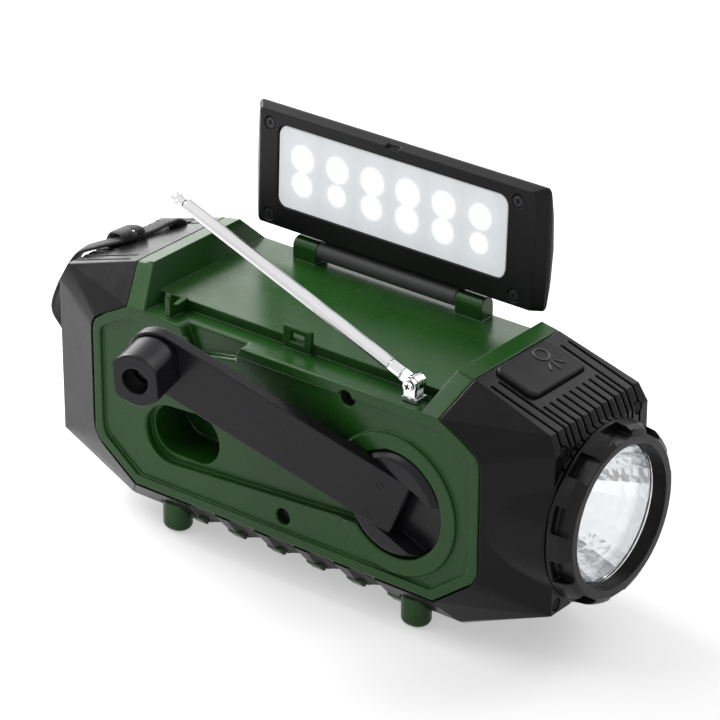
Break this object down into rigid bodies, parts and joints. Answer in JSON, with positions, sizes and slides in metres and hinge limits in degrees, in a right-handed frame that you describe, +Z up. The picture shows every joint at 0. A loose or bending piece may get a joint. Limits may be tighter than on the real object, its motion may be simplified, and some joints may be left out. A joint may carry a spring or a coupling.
{
  "type": "wind-up emergency radio",
  "caption": "Hand cranked emergency radio with a fold-up lamp panel, a torch in one end, a folding crank, a telescopic antenna and a wrist strap.",
  "frame": {"origin": "on the floor under the middle of the box around the radio without its strap, with the crank turned out and the lamp up", "axes": "+Z up, +X along the case towards the torch, the crank face looks along -Y"},
  "size_m": [0.2168, 0.1109, 0.1265],
  "materials": {
    "green_plastic": "satin dark green",
    "black_plastic": "fine matt black",
    "charcoal_plastic": "satin charcoal",
    "black_rubber": "matt",
    "antenna_chrome": "bright",
    "steel_parts": "plain",
    "nylon": "natural",
    "brass_plate": "plain",
    "diffuser": "milky white",
    "lamp_board": "white lacquer",
    "solar": "dark blue under clear resin",
    "clear_lens": "clear",
    "reflector": "vacuum plated",
    "led": "clear over yellow",
    "cell_wrap": "shrink sleeve",
    "circuit_board": "green lacquer",
    "dial_clear": "clear",
    "pointer": "red",
    "webbing": "woven"
  },
  "bodies": {
    "case": {"battery_cell": "cell_wrap", "battery_holder": "black_plastic", "bottom_tray": "black_plastic", "dial_window": "dial_clear", "end_screw_right_front": "steel_parts", "end_screw_right_low": "steel_parts", "end_screw_right_rear": "steel_parts", "face_screw_1": "steel_parts", "face_screw_2": "steel_parts", "foot_front_left": "green_plastic", "foot_front_right": "green_plastic", "foot_rear_left": "green_plastic", "foot_rear_right": "green_plastic", "gear_plate": "brass_plate", "generator_stator": "steel_parts", "grip_strip": "green_plastic", "left_end_cap": "black_plastic", "lid_hinge_pin": "steel_parts", "main_board": "circuit_board", "main_case": "green_plastic", "rear_cover": "green_plastic", "right_end_cap": "black_plastic", "speaker": "steel_parts", "torch_bezel": "black_plastic", "torch_led": "led", "torch_lens": "clear_lens", "torch_reflector": "reflector", "wrist_strap": "webbing"},
    "lid": {"lamp_frame": "black_plastic", "lamp_cover": "black_plastic", "lamp_diffuser": "diffuser", "lamp_board": "lamp_board", "solar_cell": "solar", "lamp_screw_1": "steel_parts", "lamp_screw_2": "steel_parts", "lamp_screw_3": "steel_parts", "lamp_screw_4": "steel_parts"},
    "antenna_post": {"antenna_base": "antenna_chrome", "antenna_screw": "antenna_chrome"},
    "antenna_arm": {"antenna_knuckle": "antenna_chrome", "antenna_tube_1": "antenna_chrome"},
    "antenna_section_2": {"antenna_tube_2": "antenna_chrome"},
    "antenna_section_3": {"antenna_tube_3": "antenna_chrome"},
    "antenna_section_4": {"antenna_rod": "antenna_chrome"},
    "crank": {"crank_hub": "charcoal_plastic", "drive_gear": "nylon", "crank_fold_pin": "steel_parts"},
    "crank_lever": {"crank_arm": "charcoal_plastic", "crank_knob_screw": "steel_parts"},
    "crank_grip": {"crank_knob": "charcoal_plastic"},
    "idler": {"idler_gear": "nylon"},
    "rotor": {"generator_rotor": "steel_parts"},
    "button": {"torch_button": "black_rubber"},
    "tuning": {"tuning_knob": "charcoal_plastic"},
    "volume": {"volume_knob": "charcoal_plastic"},
    "pointer": {"dial_pointer": "pointer"},
    "switch": {"band_switch": "charcoal_plastic"},
    "flap": {"socket_flap": "black_rubber"}
  },
  "joints": [
    {"name": "lid_hinge", "type": "hinge", "parent": "case", "child": "lid", "pos_m": [-0.0041, 0.03985, 0.083], "axis": [1, 0, 0], "range_deg": [-25, 92.4]},
    {"name": "antenna_swivel", "type": "hinge", "parent": "case", "child": "antenna_post", "pos_m": [0.0428, -0.01105, 0.0757], "axis": [0, 0, 1], "range_deg": [-25, 165]},
    {"name": "antenna_tilt", "type": "hinge", "parent": "antenna_post", "child": "antenna_arm", "pos_m": [0.0428, -0.01105, 0.0812], "axis": [0, 1, 0], "range_deg": [-20, 120]},
    {"name": "antenna_slide_2", "type": "slide", "parent": "antenna_arm", "child": "antenna_section_2", "axis": [-0.9373, 0, 0.3486], "range_m": [0, 0.075]},
    {"name": "antenna_slide_3", "type": "slide", "parent": "antenna_section_2", "child": "antenna_section_3", "axis": [-0.9373, 0, 0.3486], "range_m": [0, 0.075]},
    {"name": "antenna_slide_4", "type": "slide", "parent": "antenna_section_3", "child": "antenna_section_4", "axis": [-0.9373, 0, 0.3486], "range_m": [0, 0.075]},
    {"name": "crank_spin", "type": "hinge", "parent": "case", "child": "crank", "pos_m": [0.0393, -0.01535, 0.042], "axis": [0, 1, 0], "continuous": true},
    {"name": "crank_fold", "type": "hinge", "parent": "crank", "child": "crank_lever", "pos_m": [0.0393, -0.01535, 0.042], "axis": [0.3907, 0, 0.9205], "range_deg": [0, 150]},
    {"name": "grip_spin", "type": "hinge", "parent": "crank_lever", "child": "crank_grip", "pos_m": [-0.03559, -0.03413, 0.07379], "axis": [0.2071, -0.9744, -0.0879], "continuous": true},
    {"name": "idler_spin", "type": "hinge", "parent": "case", "child": "idler", "pos_m": [0.0148, -0.00225, 0.042], "axis": [0, 1, 0], "continuous": true},
    {"name": "rotor_spin", "type": "hinge", "parent": "case", "child": "rotor", "pos_m": [-0.0043, 0.00475, 0.042], "axis": [0, 1, 0], "continuous": true},
    {"name": "button_press", "type": "slide", "parent": "case", "child": "button", "axis": [-0.2958, 0, -0.9553], "range_m": [0, 0.0012], "stiffness_N_per_m": 400},
    {"name": "tuning_turn", "type": "hinge", "parent": "case", "child": "tuning", "pos_m": [0.0139, 0.04615, 0.042], "axis": [0, -1, 0], "range_deg": [0, 270]},
    {"name": "pointer_slide", "type": "slide", "parent": "case", "child": "pointer", "axis": [1, 0, 0], "range_m": [0, 0.044]},
    {"name": "volume_turn", "type": "hinge", "parent": "case", "child": "volume", "pos_m": [0.0439, 0.04615, 0.042], "axis": [0, -1, 0], "range_deg": [0, 270]},
    {"name": "switch_slide", "type": "slide", "parent": "case", "child": "switch", "axis": [1, 0, 0], "range_m": [0, 0.005]},
    {"name": "flap_hinge", "type": "hinge", "parent": "case", "child": "flap", "pos_m": [0.0499, 0.04545, 0.0213], "axis": [-1, 0, 0], "range_deg": [0, 110]}
  ],
  "couplings": [
    {"joint": "idler_spin", "follows": "crank_spin", "ratio": -4},
    {"joint": "rotor_spin", "follows": "crank_spin", "ratio": 16},
    {"joint": "pointer_slide", "follows": "tuning_turn", "m_per_rad": 0.009336}
  ]
}
